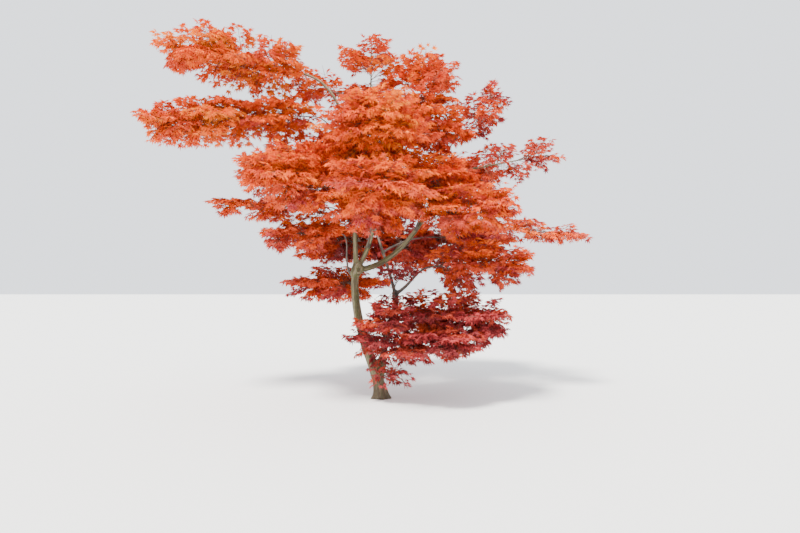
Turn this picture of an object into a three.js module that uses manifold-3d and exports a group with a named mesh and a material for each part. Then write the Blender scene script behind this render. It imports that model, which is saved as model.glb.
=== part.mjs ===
// A japanese maple of garden size: two stems from one flared foot, boughs that fork from them, and at
// the end of each bough a layered spray of twigs that carry five-lobed blades. Each blade stands for
// a handful of real leaves. Millimetres, +Z up, ground at z = 0, and the origin is the centre of the
// foot's flat cut. A camera that looks along +Y has +X on its right.
import * as THREE from "three";
import { mergeVertices } from "three/addons/utils/BufferGeometryUtils.js";
import Module from "manifold-3d";

const wasm = await Module();
wasm.setup();
const { Manifold } = wasm;

const UP = new THREE.Vector3(0, 0, 1);
const CLEARANCE = 0.3; // gap between a limb and what grows from it
const TRUNK_RADIUS = 80; // at the foot, before its flare
const TRUNK_TAPER = 44; // lost from there to the fork
const FOOT_FLARE = 34; // how far the root flare stands out at the ground
const FLARE_HEIGHT = 70; // height over which the flare dies away
const ROOT_RIDGES = 5;
const RIDGE_DEPTH = 0.35; // of the flare
const BELOW_GROUND = 40; // length that the flat cut takes off the foot
const SECOND_STEM_RADIUS = 43;
const SECOND_STEM_TAPER = 15;

// Leans of the two stems: how far the centreline stands to the side at each height.
const TRUNK_LEAN = [
  [0, -BELOW_GROUND],
  [-14, 110],
  [-66, 289],
  [-172, 588],
  [-232, 826],
  [-262, 1032],
  [-268, 1220],
  [-243, 1372],
];
const SECOND_STEM_LEAN = [
  [-20, 170],
  [22, 400],
  [42, 588],
  [80, 735],
  [128, 870],
  [150, 990],
  [144, 1094],
];

// Boughs. parent, share of the parent's length at which it leaves, then its tip as a compass angle
// (0 is right, 90 is away from the viewer), distance from the plumb line of the foot and height, its
// radius where it leaves, how upright it sets off (0 level, 1 upright), and the spray at its tip:
// heading, pitch, length, width and depth.
const BOUGHS = {
  left_leader: ["trunk", 0.955, 194, 823, 3270, 27, 0.95, [199, 4, 1300, 800, 500]],
  right_leader: ["trunk", 0.965, 134, 170, 3160, 26, 0.55, [88, 78, 740, 680, 580]],
  right_spreader: ["trunk", 0.96, 10, 1030, 2410, 32, 0.12, [7, 12, 930, 620, 430]],
  right_low: ["second_stem", 0.975, -9, 520, 1350, 19, 0.35, [-10, 1, 990, 880, 480]],
  rear_leader: ["second_stem", 0.97, 100, 760, 2050, 19, 0.6, [82, 10, 1000, 1050, 560]],
  left_high: ["left_leader", 0.5, 188, 690, 2870, 13, 0.6, [194, -7, 1760, 780, 410]],
  left_middle: ["left_leader", 0.36, 191, 540, 2410, 11, 0.5, [194, -12, 860, 820, 540]],
  left_spray: ["left_leader", 0.2, 164, 600, 1990, 10, 0.5, [177, 1, 1260, 600, 260]],
  left_lower: ["trunk", 0.9, 182, 420, 1690, 12, 0.4, [186, -2, 760, 800, 350]],
  left_pad: ["trunk", 0.72, 150, 400, 1185, 9, 0.3, [120, -2, 800, 1200, 360]],
  upper_left: ["left_leader", 0.62, 160, 420, 3180, 11, 0.8, [176, 14, 620, 640, 320]],
  back_left_high: ["left_leader", 0.42, 160, 360, 2560, 12, 0.6, [108, 8, 1240, 1040, 600]],
  back_left: ["left_leader", 0.12, 128, 420, 1640, 12, 0.5, [122, 2, 1160, 1080, 500]],
  front_left: ["left_leader", 0.28, 221, 480, 2060, 11, 0.5, [229, 6, 1040, 920, 560]],
  centre: ["right_leader", 0.24, 318, 150, 2090, 11, 0.6, [320, 6, 900, 900, 500]],
  top_right: ["right_leader", 0.55, -22, 270, 2740, 12, 0.8, [34, 70, 850, 1020, 680]],
  front_high: ["right_leader", 0.46, 262, 330, 2430, 12, 0.7, [272, 9, 1000, 1080, 660]],
  back_top: ["right_leader", 0.6, 77, 461, 2850, 12, 0.7, [75, 26, 860, 920, 620]],
  middle_right: ["right_leader", 0.36, 0, 240, 2760, 13, 0.75, [4, 0, 670, 820, 520]],
  front_low: ["right_leader", 0.14, 266, 360, 1900, 12, 0.6, [273, 6, 1080, 1060, 560]],
  right_high: ["right_spreader", 0.62, 12, 900, 2790, 10, 0.8, [25, 48, 680, 560, 440]],
  front_right: ["right_spreader", 0.44, -24, 500, 1850, 12, 0.5, [-45, 2, 980, 900, 540]],
  right_spray: ["right_spreader", 0.56, 5, 1090, 1780, 10, 0.1, [3, -5, 1130, 620, 200]],
  back_right_high: ["right_spreader", 0.52, 40, 620, 2320, 12, 0.6, [48, 10, 1210, 1000, 580]],
  back_right: ["rear_leader", 0.4, 38, 780, 1700, 12, 0.4, [41, 1, 1120, 920, 540]],
  back_low: ["rear_leader", 0.3, 66, 480, 1620, 11, 0.3, [84, 0, 1040, 1000, 560]],
  low_right: ["second_stem", 0.66, -22, 220, 800, 10, 0.4, [-16, 2, 1050, 860, 600]],
  low_right_under: ["second_stem", 0.36, -50, 190, 560, 9, 0.2, [-30, 7, 940, 800, 380]],
};

// Two sprays that grow straight from a stem, with no bough: stem, share, heading, pitch, length, width
// and depth.
const STEM_SPRAYS = {
  low_left: ["second_stem", 0.42, 274, 26, 660, 760, 600],
  lowest: ["trunk", 0.2, 312, 0, 480, 400, 200],
};

// Blades, in shares of their length.
const BLADE = 370; // length of a full blade
const BLADE_SHARE = 0.42; // the longest blade's share of its spray's length and width
const BLADE_PATCH = 72500; // mm2 of a spray's length by width for each blade
const FEWEST_BLADES = 5;
const BLADE_THICKNESS = 0.035;
const BLADE_DROOP = 0.14; // how far its tips hang
const PALM = 0.12; // how far out it is thickest
// Angle from the midrib and length of each lobe, on either side, and of the notch beside the middle.
const LOBES = [
  [0, 1],
  [44, 0.9],
  [98, 0.58],
];
const NOTCH = [23, 0.42];

// Twigs.
const TWIG_RADIUS = 2;
const STEM_END_RADIUS = 8;
const SHORTEST_TWIG = 45;
const LEAST_FORWARD = 0.25; // cosine of the sharpest turn from a twig into its blade
const TWIG_ANGLES = [88, 38]; // degrees from the spray's stem, at its start and at its end
const TWIG_ANGLE_SPREAD = 24;
const TRIES = 18; // for each blade that a spray should have
const BEHIND_SHARE = 0.12; // of a spray's space that lies behind its root
const SPACE_MARGIN = 1.16; // how far out of a spray's own ellipsoid a blade's tips may stand
const RIVAL_SHARE = 0.8; // a twig gives way where another spray's middle is nearer than this share
const TEST_MARGIN = 2; // how much a twig is grown to test that it touches nothing
const TEST_START = 20; // the first stretch of a twig, inside what carries it, isn't tested
const LOWEST_LEAF = 60; // nothing hangs nearer to the ground
const GOLDEN = 0.618034; // shares that spread twigs evenly along a stem
const PLASTIC = 0.754878; // and round it
const FLATNESS = 0.03; // faces this near to one plane are joined

const BARK = { color: 0x77735a, roughness: 0.8, metalness: 0 };
// Leaf colours from the lowest sprays to the highest: below each height, a colour.
const LEAF_TINTS = [
  [900, 0xa8232a],
  [2000, 0xc8432a],
  [Infinity, 0xdd6a38],
];

const radians = THREE.MathUtils.degToRad;
const lerp = THREE.MathUtils.lerp;

// A repeatable draw between 0 and 1 for a pair of keys.
function chance(a, b) {
  const s = Math.sin(a * 12.9898 + b * 78.233) * 43758.5453;
  return s - Math.floor(s);
}

// A unit vector from a compass angle and a pitch above level, in degrees.
function bearing(heading, pitch) {
  const [h, p] = [radians(heading), radians(pitch)];
  return new THREE.Vector3(Math.cos(p) * Math.cos(h), Math.cos(p) * Math.sin(h), Math.sin(p));
}

// A closed three.js geometry as a solid that can be joined and cut.
function solidOf(geometry) {
  const bare = new THREE.BufferGeometry().setAttribute("position", geometry.getAttribute("position"));
  bare.setIndex(geometry.index);
  const merged = mergeVertices(bare, 1e-3);
  return new Manifold(
    new wasm.Mesh({
      numProp: 3,
      vertProperties: merged.attributes.position.array,
      triVerts: new Uint32Array(merged.index.array),
    }),
  );
}

// A solid as a three.js geometry.
function geometryOf(solid) {
  const mesh = solid.getMesh();
  const points = new Float32Array(mesh.numVert * 3);
  for (let i = 0; i < mesh.numVert; i++)
    points.set(mesh.vertProperties.subarray(i * mesh.numProp, i * mesh.numProp + 3), i * 3);
  const geometry = new THREE.BufferGeometry().setAttribute(
    "position",
    new THREE.BufferAttribute(points, 3),
  );
  geometry.setIndex(new THREE.BufferAttribute(mesh.triVerts, 1));
  const flat = geometry.toNonIndexed();
  flat.computeVertexNormals();
  return flat;
}

// The largest of the bodies that a cut or a join leaves.
function largestBody(solid) {
  return solid.decompose().reduce((a, b) => (b.volume() > a.volume() ? b : a));
}

// Whether two solids' boxes come near each other.
function near(a, b) {
  return [0, 1, 2].every((k) => a.min[k] < b.max[k] && b.min[k] < a.max[k]);
}

function touches(solid, others) {
  const box = solid.boundingBox();
  return others.some((other) => near(box, other.box) && !solid.intersect(other.solid).isEmpty());
}

// A round tube along a curve: the rings of a cylinder, carried along the curve and given its radius
// there. radiusAt takes the share of the length and the angle round the limb. extra grows it all round
// and at both ends.
function tube(curve, radiusAt, sides, steps, extra = 0) {
  const geometry = new THREE.CylinderGeometry(1, 1, 1, sides, steps);
  const frames = curve.computeFrenetFrames(steps, false);
  const position = geometry.getAttribute("position");
  for (let i = 0; i < position.count; i++) {
    const share = position.getY(i) + 0.5;
    const ring = Math.round(share * steps);
    const angle = Math.atan2(position.getZ(i), position.getX(i));
    const out = Math.hypot(position.getX(i), position.getZ(i)) * (radiusAt(share, angle) + extra);
    const point = curve
      .getPointAt(share)
      .addScaledVector(frames.normals[ring], out * Math.cos(angle))
      .addScaledVector(frames.binormals[ring], -out * Math.sin(angle))
      .addScaledVector(frames.tangents[ring], ring === 0 ? -extra : ring === steps ? extra : 0);
    position.setXYZ(i, point.x, point.y, point.z);
  }
  return solidOf(geometry);
}

// A limb's solid, cut clear of the limbs that were made before it.
function limb(curve, radiusAt, sides, steps, before) {
  let solid = tube(curve, radiusAt, sides, steps);
  const box = solid.boundingBox();
  for (const other of before) if (near(box, other.box)) solid = solid.subtract(other.solid);
  solid = largestBody(solid).simplify(FLATNESS);
  const grown = tube(curve, radiusAt, sides, steps, CLEARANCE);
  return { curve, radiusAt, solid, grown: { solid: grown, box: grown.boundingBox() } };
}

// The trunk's radius: an even taper, a root flare in ridges that dies away above the ground, and a
// rounded end at the fork.
function trunkRadius(share, angle) {
  const height = share * TRUNK_LENGTH - BELOW_GROUND;
  const flare = Math.exp(-Math.max(height, 0) / FLARE_HEIGHT);
  const ridge = 1 + RIDGE_DEPTH * Math.cos(ROOT_RIDGES * angle + 0.8);
  const rounding = Math.min(1, 0.72 + (1 - share) * 9);
  return (TRUNK_RADIUS - TRUNK_TAPER * Math.sqrt(share) + FOOT_FLARE * flare * ridge) * rounding;
}

function leanCurve(lean) {
  return new THREE.CatmullRomCurve3(lean.map(([x, z]) => new THREE.Vector3(x, 0, z)));
}

// The trunk, from a flat cut at the ground to its fork.
const trunkCurve = leanCurve(TRUNK_LEAN);
const TRUNK_LENGTH = trunkCurve.getLength();
const limbs = { trunk: limb(trunkCurve, trunkRadius, 12, 15, []) };
const soil = solidOf(new THREE.BoxGeometry(600, 600, 200).translate(0, 0, -100));
limbs.trunk.solid = largestBody(limbs.trunk.solid.subtract(soil));

// The second stem, which leaves the trunk just above the flare.
function secondRadius(share) {
  return (SECOND_STEM_RADIUS - SECOND_STEM_TAPER * share) * Math.min(1, 0.75 + (1 - share) * 7);
}
limbs.second_stem = limb(leanCurve(SECOND_STEM_LEAN), secondRadius, 9, 9, [limbs.trunk.grown]);

// A bough's curve: it sets off between level and upright, and arrives nearly in line with the spray at
// its tip.
function boughCurve(parent, share, tip, upright, heading, pitch) {
  const start = parent.curve.getPointAt(share);
  const reach = tip.distanceTo(start);
  const level = tip.clone().sub(start).setZ(0).normalize();
  const away = level.lerp(UP, upright).normalize();
  const arrival = bearing(heading, pitch * 0.6);
  return new THREE.CubicBezierCurve3(
    start,
    start.clone().addScaledVector(away, reach * 0.42),
    tip.clone().addScaledVector(arrival, -reach * 0.3),
    tip,
  );
}

for (const [name, row] of Object.entries(BOUGHS)) {
  const [parentName, share, angle, out, height, radius, upright, [heading, pitch]] = row;
  const parent = limbs[parentName];
  const tip = bearing(angle, 0).multiplyScalar(out).setZ(height);
  const curve = boughCurve(parent, share, tip, upright, heading, pitch);
  const tipRadius = Math.max(5, radius * 0.38);
  const radiusAt = (s) => radius + (tipRadius - radius) * s;
  const leader = name.endsWith("leader") || name === "right_spreader";
  const before = Object.values(limbs).map((l) => l.grown);
  limbs[name] = limb(curve, radiusAt, leader ? 8 : 5, leader ? 8 : 4, before);
}

// A three-sided twig that widens into a five-lobed blade, as one closed plate, thickest at the palm.
// forward is the blade's midrib and up its face. extra grows the whole of it, for testing clearances.
function leafyTwig(root, end, forward, up, length, extra = 0) {
  const across = new THREE.Vector3().crossVectors(up, forward).normalize();
  const reach = length + 2 * extra;
  const place = (angle, out, lift = 0) =>
    end
      .clone()
      .addScaledVector(forward, Math.cos(radians(angle)) * out)
      .addScaledVector(across, Math.sin(radians(angle)) * out)
      .addScaledVector(up, lift - BLADE_DROOP * out * (out / reach));
  const outline = [];
  for (let i = LOBES.length - 1; i > -LOBES.length; i--) {
    const [angle, share] = LOBES[Math.abs(i)];
    outline.push(place(Math.sign(i) * angle, share * reach));
    if (i === 1 || i === 0) outline.push(place((2 * i - 1) * NOTCH[0], NOTCH[1] * reach));
  }
  const corners = (point, radius) => [
    point.clone().addScaledVector(across, -radius),
    point.clone().addScaledVector(up, -radius * 1.5),
    point.clone().addScaledVector(across, radius),
  ];
  const half = (BLADE_THICKNESS * length) / 2 + extra;
  const [right, below, left] = corners(end, TWIG_RADIUS * 0.85 + extra);
  const palm = [place(0, PALM * length, half), place(0, PALM * length, -half)];
  const points = [...palm, right, below, left, ...corners(root, TWIG_RADIUS + extra), ...outline];
  const [top, under, endRight, endBelow, endLeft, rootRight, rootBelow, rootLeft, first] = points.keys();
  const last = points.length - 1;
  const faces = [rootLeft, rootBelow, rootRight];
  for (let i = first; i < last; i++) faces.push(top, i + 1, i, under, i, i + 1);
  faces.push(top, endRight, last, top, endLeft, endRight, top, first, endLeft);
  faces.push(under, last, endRight, under, endRight, endBelow);
  faces.push(under, endBelow, endLeft, under, endLeft, first);
  faces.push(endRight, endLeft, rootLeft, endRight, rootLeft, rootRight);
  faces.push(endBelow, endRight, rootRight, endBelow, rootRight, rootBelow);
  faces.push(endLeft, endBelow, rootBelow, endLeft, rootBelow, rootLeft);
  const geometry = new THREE.BufferGeometry();
  const coordinates = points.flatMap((p) => p.toArray());
  geometry.setAttribute("position", new THREE.Float32BufferAttribute(coordinates, 3));
  geometry.setIndex(faces);
  return { solid: solidOf(geometry), points: [palm[0], ...outline] };
}

// A spray's own space: an ellipsoid whose far end lies long ahead of the point where its stem starts,
// and whose near end lies a little behind it.
function spaceOf(root, heading, pitch, long, wide, deep) {
  const ahead = bearing(heading, pitch);
  const across = new THREE.Vector3().crossVectors(UP, ahead).normalize();
  const above = new THREE.Vector3().crossVectors(ahead, across);
  const whole = long / (1 - BEHIND_SHARE);
  const centre = root.clone().addScaledVector(ahead, long - whole / 2);
  // How far out a point lies, where 1 is the ellipsoid's surface.
  const depthOf = (point) => {
    const p = point.clone().sub(centre);
    return 2 * Math.hypot(p.dot(ahead) / whole, p.dot(across) / wide, p.dot(above) / deep);
  };
  // How far a line from a point inside can go before it meets the surface.
  const room = (point, direction) => {
    let far = 0;
    while (far < long && depthOf(point.clone().addScaledVector(direction, far)) < 1) far += 10;
    return far;
  };
  return { root, ahead, across, above, long, wide, deep, depthOf, room };
}

const spaces = {};
for (const [name, row] of Object.entries(BOUGHS)) {
  const end = limbs[name].curve.getPointAt(1);
  const direction = limbs[name].curve.getTangentAt(1);
  spaces[name] = spaceOf(end.addScaledVector(direction, CLEARANCE), ...row[7]);
  spaces[name].setOff = direction;
  spaces[name].thick = limbs[name].radiusAt(1) * 0.95;
}
for (const [name, [stemName, share, ...size]] of Object.entries(STEM_SPRAYS)) {
  spaces[name] = spaceOf(limbs[stemName].curve.getPointAt(share), ...size);
  spaces[name].setOff = bearing(size[0], 25);
  spaces[name].thick = 7;
}

// The stem of each spray: it bends from its bough's direction towards the far end of its space.
for (const space of Object.values(spaces)) {
  const { root, ahead, setOff, thick, long, wide, deep } = space;
  space.blade = Math.min(BLADE, BLADE_SHARE * Math.min(wide, long));
  const end = root.clone().addScaledVector(ahead, long - space.blade * (0.9 - 0.6 * ahead.z));
  const bend = root.clone().addScaledVector(setOff, long * 0.3).addScaledVector(UP, deep * 0.04);
  const radiusAt = (s) => thick + (STEM_END_RADIUS - thick) * s;
  space.curve = new THREE.QuadraticBezierCurve3(root, bend, end);
  space.stem = tube(space.curve, radiusAt, 3, 3);
  const grown = tube(space.curve, radiusAt, 3, 3, TEST_MARGIN);
  space.grownStem = { solid: grown, box: grown.boundingBox() };
}

// The twigs and blades of one spray, joined to one solid. Leafy twigs leave the stem one after another,
// spread evenly along it and round it, flattened to the space's own section, and end near the edge of
// the space. One that would leave the space, lie nearer to another spray's middle, or touch a limb,
// another spray or a twig beside it is skipped.
function spray(name, key, limbSolids, otherSprays) {
  const space = spaces[name];
  const { ahead, across, above, long, wide, deep, blade } = space;
  const rivals = Object.values(spaces).filter((other) => other !== space);
  const inside = (points) => points.every((p) => p.z > LOWEST_LEAF && space.depthOf(p) < SPACE_MARGIN);
  const owns = (point) => {
    const own = Math.min(space.depthOf(point), 1);
    return rivals.every((rival) => rival.depthOf(point) > own * RIVAL_SHARE);
  };
  const obstacles = [...limbSolids, ...otherSprays, ...rivals.map((rival) => rival.grownStem)];
  const hang = Math.min(0.85, deep / 600); // how steeply its blades may hang and tilt
  const kept = [];

  // A leafy twig from a point of the stem, kept if there is room for it. Its blade droops more or less,
  // and on an upright twig it also leans over to one side, but never folds back over its twig.
  const grow = (node, direction, reach, length, seed) => {
    const twigEnd = node.clone().addScaledVector(direction, reach);
    const forward = direction.clone();
    forward.z = forward.z * 0.5 - 0.1 - hang * chance(seed, 1);
    const lean = 0.6 * Math.abs(direction.z) ** 3;
    forward.addScaledVector(bearing(360 * chance(seed, 6), 0), lean).normalize();
    if (forward.dot(direction) < LEAST_FORWARD) return;
    const up = UP.clone().addScaledVector(across, (chance(seed, 2) - 0.5) * 2 * hang);
    up.addScaledVector(forward, -up.dot(forward)).normalize();
    const leaf = leafyTwig(node, twigEnd, forward, up, length);
    if (!inside(leaf.points) || !owns(leaf.points[0])) return;
    const start = node.clone().addScaledVector(direction, TEST_START);
    const test = leafyTwig(start, twigEnd, forward, up, length, TEST_MARGIN);
    if (touches(test.solid, [...obstacles, ...kept])) return;
    kept.push({ solid: leaf.solid, box: leaf.solid.boundingBox() });
  };

  const target = Math.max(FEWEST_BLADES, Math.round((long * wide) / BLADE_PATCH));
  grow(space.curve.getPointAt(0.9), space.curve.getTangentAt(1), blade * 0.15, blade, key * 31);
  for (let i = 1; i < target * TRIES && kept.length < target; i++) {
    const seed = key * 131 + i;
    const place = 0.04 + 0.92 * ((i * GOLDEN) % 1);
    const node = space.curve.getPointAt(place);
    const roll = 2 * Math.PI * ((i * PLASTIC + key * GOLDEN) % 1);
    const sideways = across.clone().multiplyScalar(Math.cos(roll) * wide);
    sideways.addScaledVector(above, Math.sin(roll) * deep).normalize();
    const angle = lerp(TWIG_ANGLES[0], TWIG_ANGLES[1], place);
    const spread = radians(angle + TWIG_ANGLE_SPREAD * (chance(seed, 3) - 0.5));
    const direction = ahead.clone().multiplyScalar(Math.cos(spread));
    direction.addScaledVector(sideways, Math.sin(spread)).normalize();
    // Later twigs are smaller, so that they fit between the first ones.
    const length = blade * (1 - (0.35 * i) / (target * TRIES)) * (0.88 + 0.12 * chance(seed, 4));
    const room = space.room(node, direction) * (1 - 0.45 * chance(seed, 5));
    const level = 1 - 0.8 * Math.abs(direction.dot(above));
    grow(node, direction, Math.max(room - length * 0.75 * level, SHORTEST_TWIG), length, seed);
  }
  const joined = Manifold.union([space.stem, ...kept.map((k) => k.solid)]);
  const clear = joined.subtract(Manifold.union(limbSolids.map((l) => l.solid)));
  return largestBody(clear.simplify(FLATNESS));
}

// The whole tree: its limbs, then the sprays, each kept clear of those before it.
const tree = new THREE.Group();
const bark = new THREE.MeshStandardMaterial(BARK);
for (const [name, { solid }] of Object.entries(limbs)) {
  const mesh = new THREE.Mesh(geometryOf(solid), bark);
  mesh.name = name in BOUGHS ? `bough_${name}` : name;
  tree.add(mesh);
}

const limbSolids = Object.values(limbs).map((l) => l.grown);
const sprays = [];
Object.keys(spaces).forEach((name, i) => {
  const solid = spray(name, i + 1, limbSolids, sprays);
  const [, color] = LEAF_TINTS.find(([height]) => spaces[name].root.z < height);
  const leaf = new THREE.MeshStandardMaterial({ color, roughness: 0.6, metalness: 0 });
  const mesh = new THREE.Mesh(geometryOf(solid), leaf);
  mesh.name = `foliage_${name}`;
  tree.add(mesh);
  sprays.push({ solid, box: solid.boundingBox() });
});

export default tree;
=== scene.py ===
"""A japanese maple of garden size in its autumn colours, dressed over its CAD frame. Metres, +Z up, ground
at z = 0, and the origin is the centre of the foot's flat cut."""

import bpy
import numpy as np
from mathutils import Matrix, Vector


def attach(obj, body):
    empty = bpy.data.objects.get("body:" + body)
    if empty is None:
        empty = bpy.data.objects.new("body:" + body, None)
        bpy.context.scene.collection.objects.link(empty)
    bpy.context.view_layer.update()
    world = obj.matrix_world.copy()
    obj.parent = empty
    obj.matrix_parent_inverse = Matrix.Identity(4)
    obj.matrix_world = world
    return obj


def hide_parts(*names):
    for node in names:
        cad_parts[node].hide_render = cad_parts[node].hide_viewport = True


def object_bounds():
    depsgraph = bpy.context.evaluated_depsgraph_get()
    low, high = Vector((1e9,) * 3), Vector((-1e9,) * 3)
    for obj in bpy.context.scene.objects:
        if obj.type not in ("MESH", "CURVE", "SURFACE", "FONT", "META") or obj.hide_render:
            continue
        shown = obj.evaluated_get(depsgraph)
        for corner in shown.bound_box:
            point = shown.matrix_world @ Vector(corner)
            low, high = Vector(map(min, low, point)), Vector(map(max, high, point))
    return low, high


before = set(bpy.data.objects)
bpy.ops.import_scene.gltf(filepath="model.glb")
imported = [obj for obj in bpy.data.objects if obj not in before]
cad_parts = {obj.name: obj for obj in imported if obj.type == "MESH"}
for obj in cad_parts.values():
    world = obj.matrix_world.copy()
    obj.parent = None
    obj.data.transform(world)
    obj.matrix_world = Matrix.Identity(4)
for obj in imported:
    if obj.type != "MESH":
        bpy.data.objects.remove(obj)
cad_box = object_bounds()

# The view: a wide lens at chest height, five and a half metres in front of the tree. It looks level, with
# its frame shifted a little upwards.
camera_data = bpy.data.cameras.new("camera")
camera_data.lens = 24
camera_data.sensor_width = 36
camera_data.shift_y = 0.023
camera = bpy.data.objects.new("camera", camera_data)
camera.location = (0.196, -5.5, 1.166)
camera.rotation_euler = (np.pi / 2, 0, 0)
bpy.context.scene.collection.objects.link(camera)
bpy.context.scene.camera = camera

# The stems and boughs as lines: two stems from one flared foot, and the boughs that fork from them, in
# the places where the frame has them. Everything that grows on the tree starts from these lines.
UP = np.array([0.0, 0.0, 1.0])
BELOW_GROUND = 0.04  # where the trunk's line starts, so that the flat cut is clean
# The stems' lines as (x, z) in the plane y = 0.
TRUNK_LEAN = [
    (0, -BELOW_GROUND), (-0.014, 0.11), (-0.066, 0.289), (-0.172, 0.588),
    (-0.232, 0.826), (-0.262, 1.032), (-0.268, 1.22), (-0.243, 1.372),
]
SECOND_STEM_LEAN = [
    (-0.02, 0.17), (0.022, 0.4), (0.042, 0.588), (0.08, 0.735), (0.128, 0.87), (0.15, 0.99), (0.144, 1.094),
]
# Each bough: parent, share of the parent's length at which it leaves, then its tip as a compass angle
# (0 is right, 90 is away from the viewer), distance from the plumb line of the foot and height, its
# radius where it leaves, how upright it sets off, the spray at its tip as heading, pitch, length, width
# and depth, and that spray's tint (0 is dark maroon, 1 the palest orange) and fullness of leaf. The
# tints are partly the sprays' own autumn colours and partly painted shade, deeper for the low sprays
# under the crown and for the backlit ones at the right.
BOUGHS = {
    "left_leader": ("trunk", 0.955, 194, 0.823, 3.27, 0.027, 0.95, (199, 4, 1.3, 0.8, 0.5), 0.74, 1),
    "right_leader": ("trunk", 0.965, 134, 0.17, 3.16, 0.026, 0.55, (88, 78, 0.74, 0.68, 0.58), 0.6, 0.9),
    "right_spreader": ("trunk", 0.96, 10, 1.03, 2.41, 0.032, 0.12, (7, 12, 0.93, 0.62, 0.43), 0.36, 0.6),
    "right_low": ("second_stem", 0.975, -9, 0.52, 1.35, 0.019, 0.35, (-10, 1, 0.99, 0.88, 0.48), 0.42, 1),
    "rear_leader": ("second_stem", 0.97, 100, 0.76, 2.05, 0.019, 0.6, (82, 10, 1.0, 1.05, 0.56), 0.42, 1.25),
    "left_high": ("left_leader", 0.5, 188, 0.69, 2.87, 0.013, 0.6, (194, -7, 1.76, 0.78, 0.41), 0.66, 1.1),
    "left_middle": ("left_leader", 0.36, 191, 0.54, 2.41, 0.011, 0.5, (194, -12, 0.86, 0.82, 0.54), 0.6, 1),
    "left_spray": ("left_leader", 0.2, 164, 0.6, 1.99, 0.01, 0.5, (177, 1, 1.26, 0.6, 0.26), 0.56, 1),
    "left_lower": ("trunk", 0.9, 182, 0.42, 1.69, 0.012, 0.4, (186, -2, 0.76, 0.8, 0.35), 0.52, 1),
    "left_pad": ("trunk", 0.72, 150, 0.4, 1.185, 0.009, 0.3, (120, -2, 0.8, 1.2, 0.36), 0.5, 1.15),
    "upper_left": ("left_leader", 0.62, 160, 0.42, 3.18, 0.011, 0.8, (176, 14, 0.62, 0.64, 0.32), 0.62, 0.9),
    "back_left_high": ("left_leader", 0.42, 160, 0.36, 2.56, 0.012, 0.6, (108, 8, 1.24, 1.04, 0.6), 0.52, 1),
    "back_left": ("left_leader", 0.12, 128, 0.42, 1.64, 0.012, 0.5, (122, 2, 1.16, 1.08, 0.5), 0.42, 1),
    "front_left": ("left_leader", 0.28, 221, 0.48, 2.06, 0.011, 0.5, (229, 6, 1.04, 0.92, 0.56), 0.62, 1),
    "centre": ("right_leader", 0.24, 318, 0.15, 2.09, 0.011, 0.6, (320, 6, 0.9, 0.9, 0.5), 0.6, 1.2),
    "top_right": ("right_leader", 0.55, -22, 0.27, 2.74, 0.012, 0.8, (34, 70, 0.85, 1.02, 0.68), 0.62, 0.9),
    "front_high": ("right_leader", 0.46, 262, 0.33, 2.43, 0.012, 0.7, (272, 9, 1.0, 1.08, 0.66), 0.7, 1),
    "back_top": ("right_leader", 0.6, 77, 0.461, 2.85, 0.012, 0.7, (75, 26, 0.86, 0.92, 0.62), 0.52, 0.8),
    "middle_right": ("right_leader", 0.36, 0, 0.24, 2.76, 0.013, 0.75, (4, 0, 0.67, 0.82, 0.52), 0.64, 1),
    "front_low": ("right_leader", 0.14, 266, 0.36, 1.9, 0.012, 0.6, (273, 6, 1.08, 1.06, 0.56), 0.58, 1),
    "right_high": ("right_spreader", 0.62, 12, 0.9, 2.79, 0.01, 0.8, (25, 48, 0.68, 0.56, 0.44), 0.34, 0.9),
    "front_right": ("right_spreader", 0.44, -24, 0.5, 1.85, 0.012, 0.5, (-45, 2, 0.98, 0.9, 0.54), 0.6, 1),
    "right_spray": ("right_spreader", 0.56, 5, 1.09, 1.78, 0.01, 0.1, (3, -5, 1.13, 0.62, 0.2), 0.5, 0.7),
    "back_right_high": (
        "right_spreader", 0.52, 40, 0.62, 2.32, 0.012, 0.6, (48, 10, 1.21, 1.0, 0.58), 0.46, 0.8,
    ),
    "back_right": ("rear_leader", 0.4, 38, 0.78, 1.7, 0.012, 0.4, (41, 1, 1.12, 0.92, 0.54), 0.4, 1.15),
    "back_low": ("rear_leader", 0.3, 66, 0.48, 1.62, 0.011, 0.3, (84, 0, 1.04, 1.0, 0.56), 0.34, 1.25),
    "low_right": ("second_stem", 0.66, -22, 0.22, 0.8, 0.01, 0.4, (-16, 2, 1.05, 0.86, 0.6), 0.28, 1.25),
    "low_right_under": (
        "second_stem", 0.36, -50, 0.19, 0.56, 0.009, 0.2, (-30, 7, 0.94, 0.8, 0.38), 0.24, 1.25,
    ),
}
# Sprays that grow straight from a stem, with no bough: stem, share, spray, tint and fullness. The
# sprigs at the second stem's fork are too small and loose to have a CAD node.
STEM_SPRAYS = {
    "low_left": ("second_stem", 0.42, (274, 26, 0.66, 0.76, 0.6), 0.26, 1.2),
    "lowest": ("trunk", 0.2, (312, 0, 0.48, 0.4, 0.2), 0.1, 0.9),
    "fork_sprigs": ("second_stem", 0.93, (268, 56, 0.42, 0.5, 0.36), 0.1, 0.85),
}
NO_CAD_NODE = ("fork_sprigs",)
STEM_STEPS, BOUGH_STEPS = 40, 120  # points in each stretch of a stem's line, and in a bough's line
SET_OFF, ARRIVE = 0.42, 0.3  # how far a bough keeps its first and its last direction, as shares of its reach
ARRIVE_PITCH = 0.6  # of its spray's pitch


def unit(vectors):
    """The same directions with a length of one."""
    return vectors / np.linalg.norm(vectors, axis=-1, keepdims=True)


def bearing(heading, pitch):
    """A unit vector from a compass angle and a pitch above level, in degrees."""
    h, p = np.radians(heading), np.radians(pitch)
    return np.array([np.cos(p) * np.cos(h), np.cos(p) * np.sin(h), np.sin(p)])


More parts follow.
